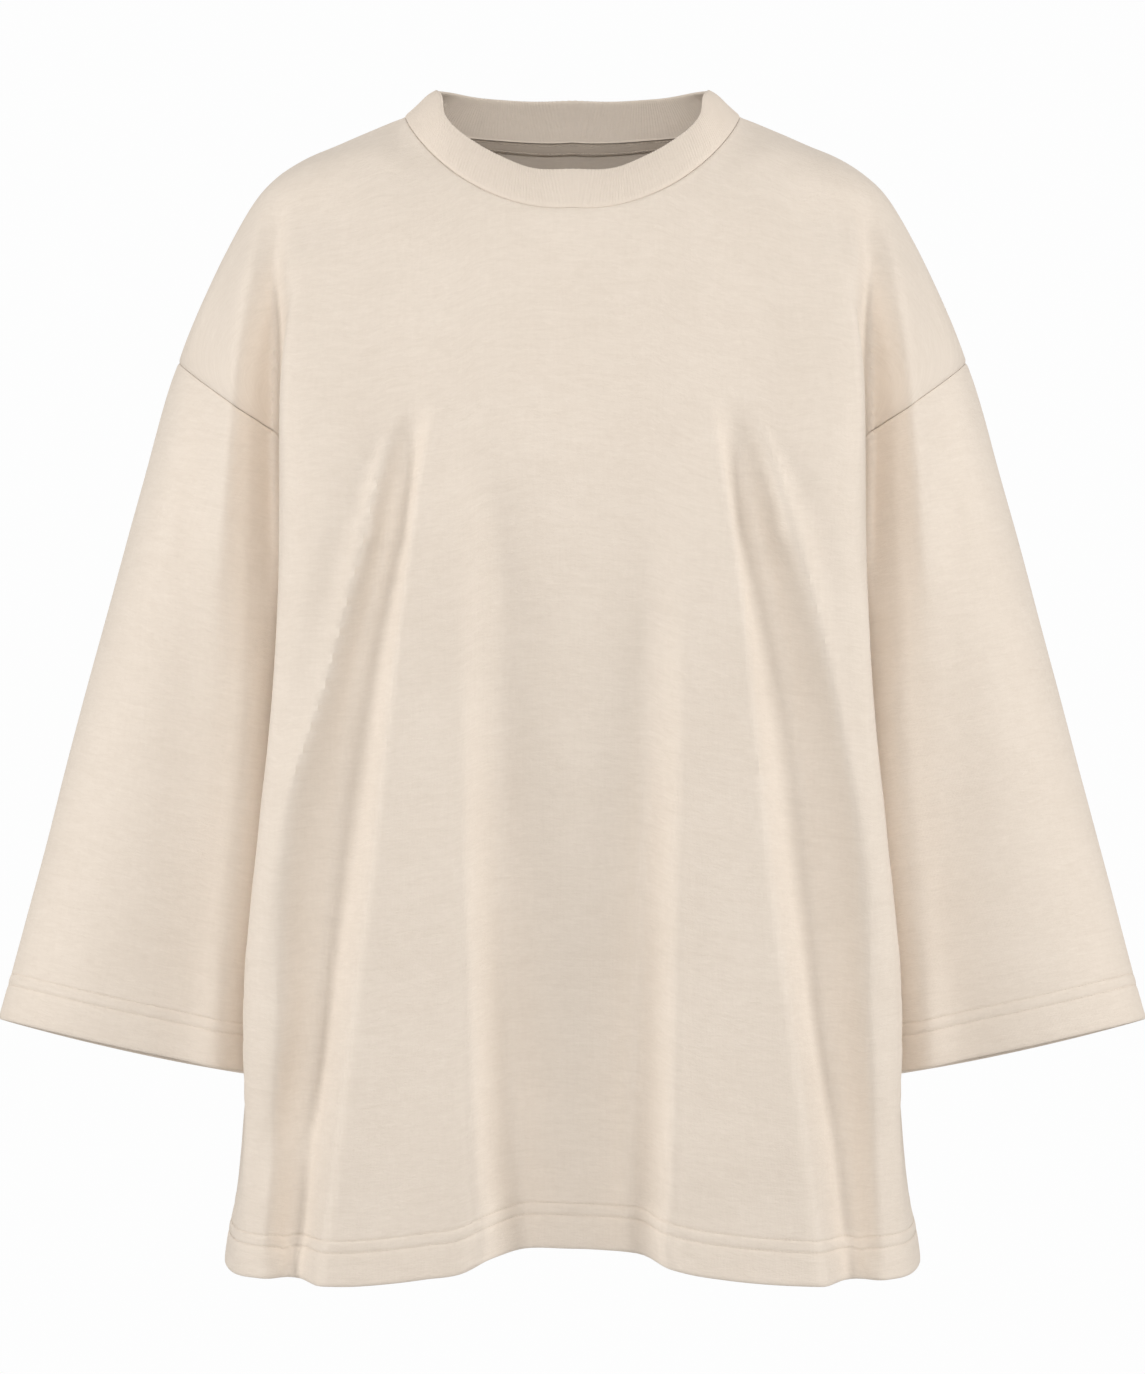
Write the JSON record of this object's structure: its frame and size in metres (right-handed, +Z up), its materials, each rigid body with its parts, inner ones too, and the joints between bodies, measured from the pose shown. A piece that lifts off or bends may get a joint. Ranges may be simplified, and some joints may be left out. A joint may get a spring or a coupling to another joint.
{
  "type": "t-shirt",
  "caption": "Oversized crew-neck t-shirt in heavy plain jersey, with dropped shoulders and wide elbow-length sleeves, standing open as if worn.",
  "frame": {"origin": "the shoulders the garment hangs on: midway between the two points where shoulder seam meets collar, at their height", "axes": "+Z up the trunk, towards the neck opening; -Y out through the front panel; +X towards the wearer's left sleeve"},
  "size_m": [0.7734, 0.313, 0.7878],
  "materials": {
    "jersey": "matt cream single jersey, heathered, dry hand",
    "rib": "matt cream 1x1 rib knit",
    "tape": "matt cream jersey binding"
  },
  "bodies": {
    "root": {"front": "jersey", "back": "jersey", "sleeve_left": "jersey", "sleeve_right": "jersey", "collar": "rib", "neck_tape": "tape"}
  },
  "joints": []
}
